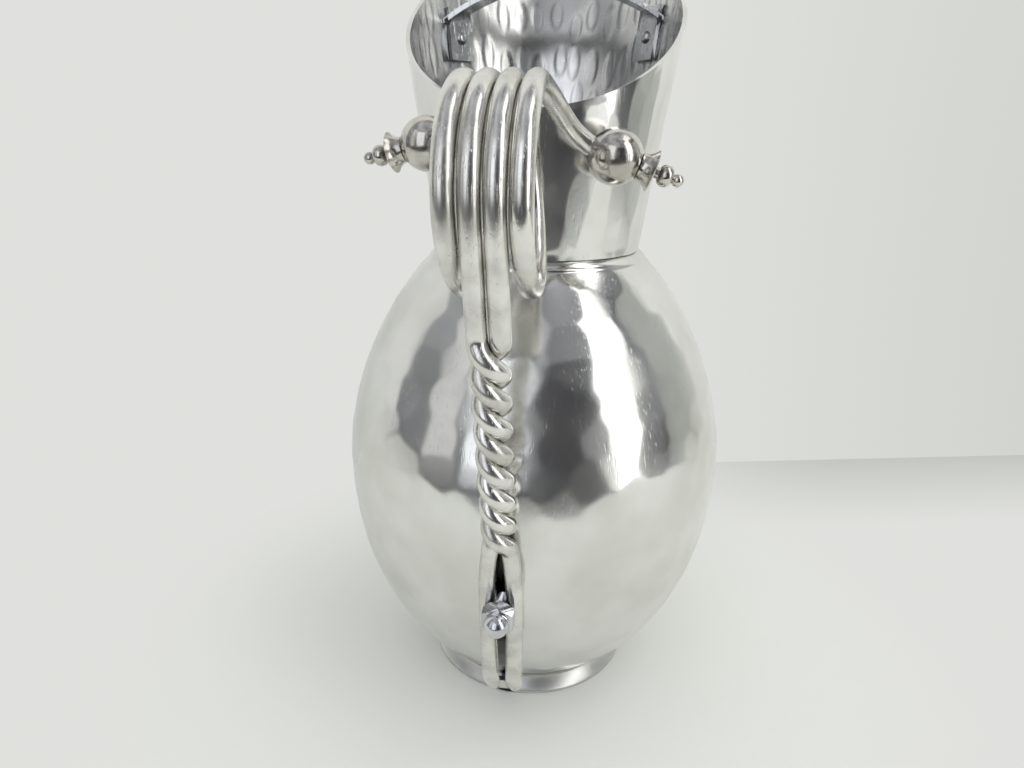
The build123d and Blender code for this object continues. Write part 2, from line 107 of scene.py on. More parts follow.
def turned_mesh(name, rings, closed=False, poles=(None, None)):
    """Mesh from rings of points: faces join each ring to the next, and a pole closes an end."""
    rows, columns = rings.shape[:2]
    index = np.arange(rows * columns).reshape(rows, columns)
    if closed:
        index = np.vstack([index, index[:1]])
    beside = np.roll(index, -1, axis=1)
    faces = np.stack([index[:-1], beside[:-1], beside[1:], index[1:]], -1).reshape(-1, 4).tolist()
    points = rings.reshape(-1, 3)
    for pole, ring, turn in ((poles[0], index[0], -1), (poles[1], index[-1], 1)):
        if pole is not None:
            tip = len(points)
            points = np.vstack([points, [pole]])
            pair = (ring, np.roll(ring, -1)) if turn > 0 else (np.roll(ring, -1), ring)
            faces += np.stack([*pair, np.full(columns, tip)], -1).tolist()
    mesh = bpy.data.meshes.new(name)
    mesh.from_pydata(points, [], faces)
    mesh.shade_smooth()
    return mesh


def fit(name, mesh, material, slot, *nodes):
    """Puts a finished mesh in the scene in place of the solids that it dresses."""
    piece = bpy.data.objects.new(name, mesh)
    bpy.context.scene.collection.objects.link(piece)
    mesh.materials.clear()
    mesh.materials.append(material)
    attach(piece, "root")
    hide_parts(*nodes)


def polished_metal(name, bright, dull, smooth, rough, cloud, grain, grain_depth, scuff_depth):
    """Bare metal: cloudy tarnish, a fine grain and thin crossing scuffs, all on Object coordinates."""
    material = bpy.data.materials.new(name)
    material.use_nodes = True
    nodes, links = material.node_tree.nodes, material.node_tree.links
    shader = nodes["Principled BSDF"]
    shader.inputs["Metallic"].default_value = 1.0
    place = nodes.new("ShaderNodeTexCoord")
    tarnish = nodes.new("ShaderNodeTexNoise")
    tarnish.inputs["Scale"].default_value = cloud
    tarnish.inputs["Detail"].default_value = 6
    links.new(place.outputs["Object"], tarnish.inputs["Vector"])
    tone = nodes.new("ShaderNodeValToRGB")
    tone.color_ramp.elements[0].position = 0.36
    tone.color_ramp.elements[0].color = (*dull, 1)
    tone.color_ramp.elements[1].position = 0.62
    tone.color_ramp.elements[1].color = (*bright, 1)
    links.new(tarnish.outputs["Fac"], tone.inputs["Fac"])
    links.new(tone.outputs["Color"], shader.inputs["Base Color"])
    wear = nodes.new("ShaderNodeMapRange")
    wear.inputs["From Min"].default_value = 0.35
    wear.inputs["From Max"].default_value = 0.65
    wear.inputs["To Min"].default_value = rough
    wear.inputs["To Max"].default_value = smooth
    links.new(tarnish.outputs["Fac"], wear.inputs["Value"])
    links.new(wear.outputs["Result"], shader.inputs["Roughness"])
    fine = nodes.new("ShaderNodeTexNoise")
    fine.inputs["Scale"].default_value = grain
    fine.inputs["Detail"].default_value = 4
    links.new(place.outputs["Object"], fine.inputs["Vector"])
    relief = nodes.new("ShaderNodeBump")
    relief.inputs["Distance"].default_value = grain_depth
    links.new(fine.outputs["Fac"], relief.inputs["Height"])
    for turn in (0.6, 2.1):
        lay = nodes.new("ShaderNodeMapping")
        lay.inputs["Rotation"].default_value = (turn, 0.4 * turn, 1.3 * turn)
        lay.inputs["Scale"].default_value = (1.0, 1.0, 0.03)
        scuff = nodes.new("ShaderNodeTexNoise")
        scuff.inputs["Scale"].default_value = grain * 1.6
        scuff.inputs["Detail"].default_value = 1
        line = nodes.new("ShaderNodeMapRange")
        line.inputs["From Min"].default_value = 0.66
        line.inputs["From Max"].default_value = 0.74
        cut = nodes.new("ShaderNodeBump")
        cut.invert = True
        cut.inputs["Distance"].default_value = scuff_depth
        links.new(place.outputs["Object"], lay.inputs["Vector"])
        links.new(lay.outputs["Vector"], scuff.inputs["Vector"])
        links.new(scuff.outputs["Fac"], line.inputs["Value"])
        links.new(line.outputs["Result"], cut.inputs["Height"])
        links.new(relief.outputs["Normal"], cut.inputs["Normal"])
        relief = cut
    links.new(relief.outputs["Normal"], shader.inputs["Normal"])
    return material


hammered_aluminium = polished_metal(
    "hammered_aluminium",
    bright=(0.77, 0.77, 0.75),
    dull=(0.68, 0.68, 0.65),
    smooth=0.14,
    rough=0.23,
    cloud=38,
    grain=700,
    grain_depth=0.000006,
    scuff_depth=0.000010,
)
blow_order = np.random.default_rng(11)
slope_step = 0.001
body_blows = []
height = base_height + first_blow_rise
while height < waist_height:
    radius = float(body_radius(height))
    count = max(8, round(2 * np.pi * radius / blow_spacing))
    aside = blow_order.uniform(-blow_step_aside, blow_step_aside, count)
    turns = 2 * np.pi * (np.arange(count) + aside + blow_order.uniform()) / count
    levels = height + blow_order.uniform(-blow_step_up, blow_step_up, count) * blow_spacing
    reach = body_radius(np.clip(levels, base_height, waist_height))
    row = round_points(reach, turns, levels)
    body_blows.append((row, blow_order.uniform(0, blow_depth_spread, count)))
    slope = float(body_radius(min(height + slope_step, waist_height)) - radius) / slope_step
    height += blow_overlap * blow_spacing / np.hypot(1, slope)

turns = np.linspace(0, 2 * np.pi, 360, endpoint=False)
middle_height = (base_height + waist_height) / 2
half_height = (waist_height - base_height) / 2
levels = middle_height - half_height * np.cos(np.linspace(0, np.pi, 176))
bead = bead_swell * np.sqrt(np.clip(1 - ((levels - bead_height) / bead_half_height) ** 2, 0, 1))
outer_reach = (body_radius(levels) + bead)[:, None]
outer = round_points(outer_reach, turns, levels[:, None])
ridges = facets(outer, body_blows, 1.0, blow_flatness, blow_softness, 2 * widest_radius)
from_ends = np.minimum(levels - base_height, waist_height - levels)
fade = np.clip(from_ends / blow_fade_height, 0, 1)[:, None]
sink = (np.clip(ridges, 0, blow_depth_limit) - blow_depth_limit) * fade
outer[..., :2] *= (1 + sink / np.hypot(outer[..., 0], outer[..., 1]))[..., None]
inner_levels = middle_height + half_height * np.cos(np.linspace(0, np.pi, 34))
inner_radii = body_radius(inner_levels) - inside_offset
collar = [
    (collar_radius, waist_height),
    (collar_radius, collar_top),
    (collar_radius - body_wall, collar_top),
]
below = [
    (bottom_flat_radius, bottom_height),
    (base_radius - bottom_flat_margin, bottom_height),
    (base_radius - bottom_corner, bottom_height + bottom_corner),
]
inside_corner = (base_radius - 2 * inside_offset, bottom_height + body_wall)
inside = [*zip(inner_radii[1:-1], inner_levels[1:-1]), inside_corner]


def rings_of(profile, round_turns):
    """Rings about the upright axis from (radius, height) pairs."""
    radii, heights = np.array(profile, float).T[:, :, None]
    return round_points(radii, round_turns, heights)


def tint_by(material, name, colour):
    """Blends a material's colour towards another by the share that a mesh attribute gives."""
    nodes, links = material.node_tree.nodes, material.node_tree.links
    shader = nodes["Principled BSDF"]
    tint = nodes.new("ShaderNodeMix")
    tint.data_type = "RGBA"
    links.new(shader.inputs["Base Color"].links[0].from_socket, tint.inputs["A"])
    tint.inputs["B"].default_value = (*colour, 1)
    share_of = nodes.new("ShaderNodeAttribute")
    share_of.attribute_name = name
    links.new(share_of.outputs["Fac"], tint.inputs["Factor"])
    links.new(tint.outputs["Result"], shader.inputs["Base Color"])


def paint_rod_slot_shade(mesh, material):
    """Painted shade in the slot between the rods: a flat-topped bell across it that narrows lower down.
    """
    spots = np.empty(len(mesh.vertices) * 3)
    mesh.vertices.foreach_get("co", spots)
    x, y, z = spots.reshape(-1, 3).T
    low = np.clip((rod_slot_shade_bend - z) / rod_slot_shade_bend, 0, 1)
    off_middle = (x + rod_slot_shade_shift * low) / (rod_slot_shade_half_width * (1 - rod_slot_shade_narrowing * low))
    slot = np.exp(-(off_middle**8)) * (y < 0) * np.clip((rod_slot_shade_top - z) / rod_slot_shade_fade, 0, 1)
    mesh.attributes.new("painted_rod_slot_shade", "FLOAT", "POINT").data.foreach_set("value", slot)
    tint_by(material, "painted_rod_slot_shade", rod_slot_shade_colour)


body_rings = [rings_of(below, turns), outer, rings_of(collar, turns), rings_of(inside, turns)]
body_poles = ((0, 0, bottom_height), (0, 0, bottom_height + body_wall))
body_mesh = turned_mesh("body", np.concatenate(body_rings), poles=body_poles)
body_mesh.set_sharp_from_angle(angle=np.radians(50))
# Painted shade: the body is painted nearly black in the slot between the lower rods.
paint_rod_slot_shade(body_mesh, hammered_aluminium)
fit("hammered_body", body_mesh, hammered_aluminium, "hammered_aluminium", "body_shell")

# Foot ring: a low spun ring of the same sheet with a hemmed edge, seated flat under the body.
# Its wall slopes outwards to the hem, which rests on the table.
foot_radius = 0.0446
hem_width = 0.0032
hem_height = 0.0022
hem_round = 0.0006
foot_flange = 0.0090
foot_wall = 0.0015
foot_shoulder = 0.0010
foot_hem_lip = 0.0009
foot_profile = [
    (base_radius - foot_flange, bottom_height - foot_wall),
    (base_radius - foot_shoulder - foot_wall, bottom_height - foot_wall),
    (foot_radius - hem_width, hem_height),
    (foot_radius - hem_width, hem_round),
    (foot_radius - hem_width + hem_round, 0),
    (foot_radius - hem_round, 0),
    (foot_radius, hem_round),
    (foot_radius, hem_height - hem_round),
    (foot_radius - foot_hem_lip, hem_height),
    (base_radius - foot_shoulder, bottom_height - foot_shoulder),
    (base_radius - bottom_flat_margin, bottom_height),
    (base_radius - foot_flange, bottom_height),
]
foot_mesh = turned_mesh("foot", rings_of(foot_profile, turns[::2]), closed=True)
foot_mesh.set_sharp_from_angle(angle=np.radians(35))
foot_aluminium = polished_metal(
    "foot_aluminium",
    bright=(0.66, 0.66, 0.64),
    dull=(0.56, 0.56, 0.54),
    smooth=0.30,
    rough=0.42,
    cloud=50,
    grain=800,
    grain_depth=0.000008,
    scuff_depth=0.000014,
)
# Painted shade: the foot is painted nearly black below the slot between the lower rods.
paint_rod_slot_shade(foot_mesh, foot_aluminium)
fit("spun_foot", foot_mesh, foot_aluminium, "hammered_aluminium", "foot_ring")

# Neck: a flared cone slipped over the collar, cut on a slant and pulled out into a broad spout.
# Its outside keeps long faint facets and its inside the deep upright blows of the raising hammer.
neck_flare = 0.1416
neck_wall = 0.0016
neck_bottom = 0.1893
rim_low_height = 0.2400
rim_slope = 0.667
rim_bend_reach = 0.0220
rim_first_guess = 0.27
lip_reach = 0.0840
lip_height = 0.30199
spout_start = 0.2360
spout_reach = 0.0098
spout_half_width = np.radians(50)
facet_across = 0.0078
facet_tall = 0.0280
facet_stretch = 0.30
facet_flatness = 1.1
facet_softness = 0.00001
facet_depth = 0.0002
facet_spread = 0.11
facet_step = 0.30
facet_depth_spread = 0.00004
row_overlap = 0.8
edge_share = 0.04
mark_step = 0.16
# Painted shade: the outlines of the hammer marks inside the neck are painted darker.
mark_edge_shade_colour = (0.38, 0.38, 0.37)
mark_across = 0.0080
mark_tall = 0.0230
mark_half_width = 0.0026
mark_half_height = 0.0085
mark_depth = 0.00022
mark_edge_width = 0.35


def neck_radius(height, turn):
    """Radius of the neck: a cone, swollen by a squared-cosine bulge round the spout's side."""
    share = np.clip((height - spout_start) / (lip_height - spout_start), 0, None)
    away = np.abs(np.angle(np.exp(1j * (turn - np.pi / 2)))) / spout_half_width
    bulge = spout_reach * share**2 * np.cos(np.clip(away, 0, 1) * np.pi / 2) ** 2
    return waist_radius + neck_flare * (height - waist_height) + bulge


def rim_height(reach):
    """Height of the rim at a reach towards the spout: a slanted line that bends into a level arc."""
    low_radius = waist_radius + neck_flare * (rim_low_height - waist_height)
    bend_height = rim_low_height + rim_slope * (low_radius + rim_bend_reach)
    start = np.arctan(rim_slope)
    chord = np.arctan2(lip_height - bend_height, lip_reach - rim_bend_reach)
    arc = np.hypot(lip_reach - rim_bend_reach, lip_height - bend_height) / (2 * np.sin(start - chord))
    centre = rim_bend_reach + arc * np.sin(start)
    drop = bend_height - arc * np.cos(start)
    bent = drop + np.sqrt(arc**2 - (reach - centre) ** 2)
    return np.where(reach > rim_bend_reach, bent, bend_height + rim_slope * (reach - rim_bend_reach))


neck_turns = np.linspace(0, 2 * np.pi, 500, endpoint=False)
# The rim's height hangs on its radius and the other way round, so the two are settled by halves.
rim = np.full(neck_turns.shape, rim_first_guess)
for _ in range(60):
    rim = 0.5 * rim + 0.5 * rim_height(neck_radius(rim, neck_turns) * np.sin(neck_turns))
share = np.linspace(0, 1, 96)[:, None]
neck_levels = neck_bottom + share * (rim - neck_bottom)
outer_radius = neck_radius(neck_levels, neck_turns)
neck_outside = round_points(outer_radius, neck_turns, neck_levels)


def neck_blows(across, tall, jitter, inset):
    """Rows of blows round the neck, each row turned by chance against the one below."""
    rows = []
    level = neck_bottom
    while level < lip_height + tall:
        count = round(2 * np.pi * float(waist_radius + neck_flare * (level - waist_height)) / across)
        aside = blow_order.uniform(-jitter, jitter, count)
        turn = 2 * np.pi * (np.arange(count) + aside + blow_order.uniform()) / count
        heights = level + blow_order.uniform(-jitter, jitter, count) * tall
        reach = neck_radius(heights, turn) - inset
        row = round_points(reach, turn, heights)
        rows.append((row, blow_order.uniform(0, facet_depth_spread, count)))
        level += tall * row_overlap
    return rows


outside_blows = neck_blows(facet_across, facet_tall, facet_step, 0)
outside_ridges = facets(
    neck_outside, outside_blows, facet_stretch, facet_flatness, facet_softness, facet_spread
)
edge_fade = np.clip(np.minimum(share, 1 - share) / edge_share, 0, 1)
outside_sink = (np.clip(outside_ridges, 0, facet_depth) - facet_depth) * edge_fade
inner_radius = outer_radius - neck_wall
neck_inside = round_points(inner_radius, neck_turns, neck_levels)
mark_push = 0.0
mark_edge = 0.0
for row, _ in neck_blows(mark_across, mark_tall, mark_step, neck_wall):
    gaps = neck_inside[:, :, None, :] - row
    across = (gaps[..., :2] ** 2).sum(-1) / mark_half_width**2
    oval = across + gaps[..., 2] ** 2 / mark_half_height**2
    mark_push = mark_push + np.exp(-(oval**4)).sum(-1)
    outline = np.exp(-(((oval - 1) / mark_edge_width) ** 2))
    mark_edge = mark_edge + (outline * across / (oval + 0.001)).sum(-1)
inside_push = mark_depth * np.clip(mark_push, 0, 1) * edge_fade
neck_outside[..., :2] *= (1 + outside_sink / outer_radius)[..., None]
neck_inside[..., :2] *= (1 + inside_push / inner_radius)[..., None]
neck_mesh = turned_mesh("neck", np.concatenate([neck_outside, neck_inside[::-1]]), closed=True)
neck_mesh.set_sharp_from_angle(angle=np.radians(60))
unpolished_aluminium = polished_metal(
    "unpolished_aluminium",
    bright=(0.74, 0.74, 0.73),
    dull=(0.62, 0.62, 0.61),
    smooth=0.22,
    rough=0.30,
    cloud=60,
    grain=900,
    grain_depth=0.000006,
    scuff_depth=0.000010,
)
fit("hammered_neck", neck_mesh, hammered_aluminium, "hammered_aluminium", "neck")
neck_mesh.materials.append(unpolished_aluminium)
# Painted shade: darker outlines painted round each hammer mark on the neck's inside.
painted_mark_edge_shade = np.concatenate([np.zeros(neck_levels.size), np.clip(mark_edge, 0, 1)[::-1].ravel()])
neck_mesh.attributes.new("mark_edge", "FLOAT", "POINT").data.foreach_set("value", painted_mark_edge_shade)
tint_by(unpolished_aluminium, "mark_edge", mark_edge_shade_colour)
side_of_face = np.zeros(len(neck_mesh.polygons), np.int32)
side_of_face[len(share) * len(neck_turns):] = 1
neck_mesh.polygons.foreach_set("material_index", side_of_face)

# Ice guard: a plain strap of sheet that bridges the neck below the spout and holds back the ice.
# Its two tabs follow the wall, each held by one small rivet.


def merged_copy(node, crease):
    """Copy of a solid's mesh with its loose triangles joined and its edges kept sharp."""
    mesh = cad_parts[node].data.copy()
    joined = bmesh.new()
    joined.from_mesh(mesh)
    bmesh.ops.remove_doubles(joined, verts=joined.verts, dist=0.000002)
    joined.to_mesh(mesh)
    joined.free()
    mesh.shade_smooth()
    mesh.set_sharp_from_angle(angle=np.radians(crease))
    return mesh


sheet_aluminium = polished_metal(
    "sheet_aluminium",
    bright=(0.62, 0.63, 0.63),
    dull=(0.48, 0.49, 0.49),
    smooth=0.24,
    rough=0.38,
    cloud=60,
    grain=900,
    grain_depth=0.00004,
    scuff_depth=0.00006,
)
fit("ice_guard_strap", merged_copy("ice_guard", 30), sheet_aluminium, "sheet_aluminium", "ice_guard")
rivets_mesh = merged_copy("ice_guard_rivets", 40)
fit("guard_rivets", rivets_mesh, sheet_aluminium, "sheet_aluminium", "ice_guard_rivets")

# Handle rods: two aluminium rods a quarter inch thick. Each leaves its ball, makes one full loop
# beside the other, and the two are twisted together, left-handed, before they run down the body.
rod_radius = 0.003175
lane = 0.00665
loop_radius = 0.0280
loop_centre_height = 0.2170
shaft_lean = np.radians(15.1)
lower_bend_height = 0.0990
twist_top_height = 0.1760
twist_turns = 4
seat_height = 0.0800
handle_end_height = 0.0256
end_cut_angle = np.radians(25)
rod_gaps = {0.0900: 0.0023, 0.0720: 0.0042, 0.0236: 0.0017}
arm_straight = 0.0130
arm_corner = np.radians(22.5)
crossing_start = 170
crossing_sweep = 150
twist_run_out = 0.0030
end_spare = 0.0040
line_step = 0.0005
line_ease = 4
ball_radius = 0.00925
seat_gap = 0.0003
socket_depth = 0.0045
finial_azimuth = 94
ball_places = {"left": (-36.5, 0.2284, 13.4), "right": (33.4, 0.2252, 19.2)}
sides = {"left": -1, "right": 1}


def direction(azimuth, rise):
    """Unit vector at an azimuth from the handle towards the right side, tilted up by a rise."""
    turn, tilt = np.radians(azimuth), np.radians(rise)
    return np.array([np.sin(turn) * np.cos(tilt), -np.cos(turn) * np.cos(tilt), np.sin(tilt)])


neck_angle = np.arctan(neck_flare)
ball_centres = {}
finial_axes = {}
for name, (azimuth, height, droop) in ball_places.items():
    stand_off = (ball_radius + seat_gap) / np.cos(neck_angle)
    reach = waist_radius + neck_flare * (height - waist_height) + stand_off
    ball_centres[name] = direction(azimuth, 0) * reach + [0, 0, height]
    finial_axes[name] = direction(finial_azimuth * sides[name], -droop)

above_seat, below_seat = body_radius(seat_height + slope_step), body_radius(seat_height - slope_step)
seat_slope = float(above_seat - below_seat) / (2 * slope_step)
lower_lean = np.arctan(seat_slope)
shaft_up = np.array([0, -np.sin(shaft_lean), np.cos(shaft_lean)])
shaft_in = np.array([0, np.cos(shaft_lean), np.sin(shaft_lean)])


def lower_line(height):
    """Point midway between the lower rods at a height, on a line that touches the body."""
    reach = body_radius(seat_height) + (rod_radius + seat_gap) / np.cos(lower_lean)
    return np.array([0, -reach - seat_slope * (height - seat_height), height])


lower_bend = lower_line(lower_bend_height)
shaft_rise = loop_centre_height - lower_bend_height - loop_radius * np.sin(shaft_lean)
shaft_run = shaft_rise / np.cos(shaft_lean)
loop_centre = lower_bend + shaft_up * shaft_run + shaft_in * loop_radius
twist_run = (twist_top_height - lower_bend_height) / np.cos(shaft_lean)


def bent_between(corners, count):
    """Line that rounds each corner with a parabola between the middles of the runs beside it."""
    corners = np.array(corners, float)
    ends = np.vstack([corners[:1], (corners[1:-2] + corners[2:-1]) / 2, corners[-1:]])
    step = np.linspace(0, 1, count)[:, None]
    bends = []
    for start, corner, end in zip(ends, corners[1:-1], ends[1:]):
        bends.append(start * (1 - step) ** 2 + corner * 2 * step * (1 - step) + end * step**2)
    return np.concatenate(bends)


def evenly(line, step):
    """The same line with its points a step apart."""
    run = np.concatenate([[0], np.cumsum(np.linalg.norm(np.diff(line, axis=0), axis=1))])
    stations = np.linspace(0, run[-1], int(run[-1] / step) + 1)
    return np.stack([np.interp(stations, run, line[:, axis]) for axis in range(3)], -1)


def eased(line, spread):
    """The line with its joints eased by a bell-shaped average over a few steps, its ends kept."""
    reach = 3 * spread
    bell = np.exp(-0.5 * (np.arange(-reach, reach + 1) / spread) ** 2)
    bell /= bell.sum()
    before = 2 * line[0] - line[reach:0:-1]
    after = 2 * line[-1] - line[-2:-reach - 2:-1]
    padded = np.concatenate([before, line, after])
    return np.stack([np.convolve(padded[:, axis], bell, "valid") for axis in range(3)], -1)


def rod_centreline(name):
    """Line of one rod: arm, one and a quarter turns of loop, shaft, four turns of twist, lower run."""
    side = sides[name]
    axis = finial_axes[name]
    turn = np.linspace(0, np.radians(360 + 90) + shaft_lean, 500)
    shift = np.clip((np.degrees(turn) - crossing_start) / crossing_sweep, 0, 1)
    across = side * lane * (1.5 - shift * shift * (3 - 2 * shift))
    loop = loop_centre + np.stack([across, -loop_radius * np.sin(turn), loop_radius * np.cos(turn)], -1)
    start = ball_centres[name] - axis * (ball_radius - socket_depth)
    bend = ball_centres[name] - axis * arm_straight
    climb = loop[0] + np.array([0, loop_radius * np.tan(arm_corner), 0])
    arm = bent_between([start, bend, climb, loop[0]], 60)
    run = np.linspace(1, 0, 800)[:, None]
    twist = (np.pi if side < 0 else 0) + 2 * np.pi * twist_turns * (1 - run)
    wound = lower_bend + shaft_up * twist_run * run
    wound = wound + lane / 2 * (np.array([1, 0, 0]) * np.cos(twist) + shaft_in * np.sin(twist))
    low_points = []
    for height, gap in rod_gaps.items():
        low_points.append(lower_line(height) + np.array([side * (rod_radius + gap / 2), 0, 0]))
    run_out = wound[-1] - shaft_up * twist_run_out
    low_end = low_points[2] - [0, 0, end_spare]
    lower = bent_between([wound[-1], run_out, *low_points[:2], low_end], 80)
    return eased(evenly(np.concatenate([arm, loop, wound, lower]), line_step), line_ease)


def rod_rings(line, radius, columns):
    """Rings square to a line, carried along it without twist."""
    tangents = np.gradient(line, axis=0)
    tangents /= np.linalg.norm(tangents, axis=1)[:, None]
    normal = np.cross(tangents[0], [0.3, 0.2, 0.9])
    normals = []
    for tangent in tangents:
        normal = normal - tangent * (normal @ tangent)
        normal = normal / np.linalg.norm(normal)
        normals.append(normal)
    normals = np.array(normals)
    sideways = np.cross(tangents, normals)
    turn = np.linspace(0, 2 * np.pi, columns, endpoint=False)
    wheel = normals[:, None] * np.cos(turn)[:, None] + sideways[:, None] * np.sin(turn)[:, None]
    return line[:, None] + radius * wheel


rod_aluminium = polished_metal(
    "rod_aluminium",
    bright=(0.80, 0.79, 0.755),
    dull=(0.61, 0.60, 0.56),
    smooth=0.18,
    rough=0.31,
    cloud=90,
    grain=1100,
    grain_depth=0.000012,
    scuff_depth=0.000030,
)
cut_normal = np.array([0, -np.cos(end_cut_angle), -np.sin(end_cut_angle)])
cut_place = lower_line(handle_end_height) + np.array([0, rod_radius, 0])
for name in sides:
    rod = rod_rings(rod_centreline(name)[::2], rod_radius, 32)
    run_down = rod[-1].mean(0) - rod[-6].mean(0)
    run_down /= np.linalg.norm(run_down)
    past = np.clip((rod[-60:] - cut_place) @ cut_normal, 0, None) / (run_down @ cut_normal)
    rod[-60:] -= past[..., None] * run_down
    rod_mesh = turned_mesh(f"rod_{name}", rod, poles=(rod[0].mean(0), rod[-1].mean(0)))
    rod_mesh.set_sharp_from_angle(angle=np.radians(38))
    fit(f"looped_rod_{name}", rod_mesh, rod_aluminium, "rod_aluminium", f"handle_rod_{name}")
fit("rod_end_weld", merged_copy("handle_end_weld", 30), rod_aluminium, "rod_aluminium", "handle_end_weld")

# Bolt, sealing washer and acorn nut: the bolt comes from inside the body, between the two rods,
# and the nut draws them against the wall. The nut is bright plated steel.
plated_steel = polished_metal(
    "plated_steel",
    bright=(0.66, 0.67, 0.70),
    dull=(0.50, 0.51, 0.54),
    smooth=0.10,
    rough=0.22,
    cloud=150,
    grain=1400,
    grain_depth=0.000008,
    scuff_depth=0.000016,
)
seal_rubber = bpy.data.materials.new("seal_rubber")
seal_rubber.use_nodes = True
rubber_shader = seal_rubber.node_tree.nodes["Principled BSDF"]
rubber_shader.inputs["Base Color"].default_value = (0.035, 0.035, 0.035, 1)
rubber_shader.inputs["Roughness"].default_value = 0.7
nut_height = 0.0052
nut_half_width = 0.00555
nut_chamfer = 0.0007
nut_gap = 0.00015
hex_base_start = nut_half_width - 0.0002
hex_top_start = nut_half_width - 0.0005
corner_spare = 0.0002
dome_foot_flare = 0.0002
dome_foot_height = 0.0003
dome_radius = 0.0044
dome_centre = 0.0060
bolt_height = 0.0720
bolt_axis = np.array([0, -np.cos(lower_lean), -np.sin(lower_lean)])
nut_base = lower_line(bolt_height) + bolt_axis * (rod_radius + nut_gap)


def turned_about(origin, axis, offsets, radii, round_turns):
    """Rings about any axis: offsets run along it and radii stand square to it."""
    sideways = np.cross([0.0, 0.0, 1.0], axis)
    sideways /= np.linalg.norm(sideways)
    upwards = np.cross(axis, sideways)
    wheel = sideways * np.cos(round_turns)[..., None] + upwards * np.sin(round_turns)[..., None]
    offsets, radii = np.asarray(offsets, float), np.asarray(radii, float)
    if radii.ndim == 1:
        radii = radii[:, None]
    return origin + offsets[:, None, None] * axis + radii[..., None] * wheel


nut_turns = np.linspace(0, 2 * np.pi, 120, endpoint=False)
hexagon = nut_half_width / np.cos((nut_turns + np.pi / 6) % (np.pi / 3) - np.pi / 6)
corner_radius = nut_half_width / np.cos(np.pi / 6)
bevel = np.linspace(0, 1, 7)
hex_offsets = np.concatenate([nut_chamfer * bevel, nut_height - nut_chamfer * bevel[::-1]])
past_corner = corner_radius + corner_spare
limits = np.concatenate([
    hex_base_start + (past_corner - hex_base_start) * bevel,
    hex_top_start + (past_corner - hex_top_start) * bevel[::-1],
])
hex_radii = np.minimum(hexagon[None, :], limits[:, None])
dome = np.linspace(0, np.pi / 2, 24)[:-1]
dome_foot = [nut_height, nut_height + dome_foot_height]
dome_offsets = np.concatenate([dome_foot, dome_centre + dome_radius * np.sin(dome)])
dome_radii = np.concatenate([[dome_radius + dome_foot_flare, dome_radius], dome_radius * np.cos(dome)])
nut_rings = np.concatenate([
    turned_about(nut_base, bolt_axis, hex_offsets, hex_radii, nut_turns),
    turned_about(nut_base, bolt_axis, dome_offsets, dome_radii, nut_turns),
])
nut_tip = nut_base + bolt_axis * (dome_centre + dome_radius)
nut_mesh = turned_mesh("nut", nut_rings, poles=(nut_base, nut_tip))
nut_mesh.set_sharp_from_angle(angle=np.radians(20))
fit("acorn_nut", nut_mesh, plated_steel, "plated_steel", "cap_nut")
fit("body_bolt", merged_copy("handle_bolt", 30), plated_steel, "plated_steel", "handle_bolt")
seal_mesh = merged_copy("bolt_sealing_washer", 30)
fit("bolt_seal", seal_mesh, seal_rubber, "seal_rubber", "bolt_sealing_washer")

# Ball finials: a turned ball caps each rod and stands against the neck. Outside it follow a thin
# flared cup and a bead with a small tip, all threaded on one stem.
turned_aluminium = polished_metal(
    "turned_aluminium",
    bright=(0.68, 0.66, 0.61),
    dull=(0.48, 0.46, 0.42),
    smooth=0.09,
    rough=0.22,
    cloud=120,
    grain=1300,
    grain_depth=0.000008,
    scuff_depth=0.000020,
)
ball_turns = np.linspace(0, 2 * np.pi, 96, endpoint=False)
small_turns = ball_turns[::2]
cup_rim_offset = 0.0130
cup_rim_radius = 0.0069
cup_waist_radius = 0.0044
cup_curve = 2.4
cup_wall = 0.0009
cup_edge = 0.0004
bead_offset = 0.0176
bead_radius = 0.00365
bead_half = 0.00235
bead_foot = 0.0003
tip_offset = 0.0219
tip_radius = 0.00215
tip_start = -0.92
stem_radius = 0.0016
stem_clearance = 0.0001
stem_depth = 0.0057
stem_shoulder = 0.0110
cup_base = np.sqrt(ball_radius**2 - cup_waist_radius**2) + seat_gap
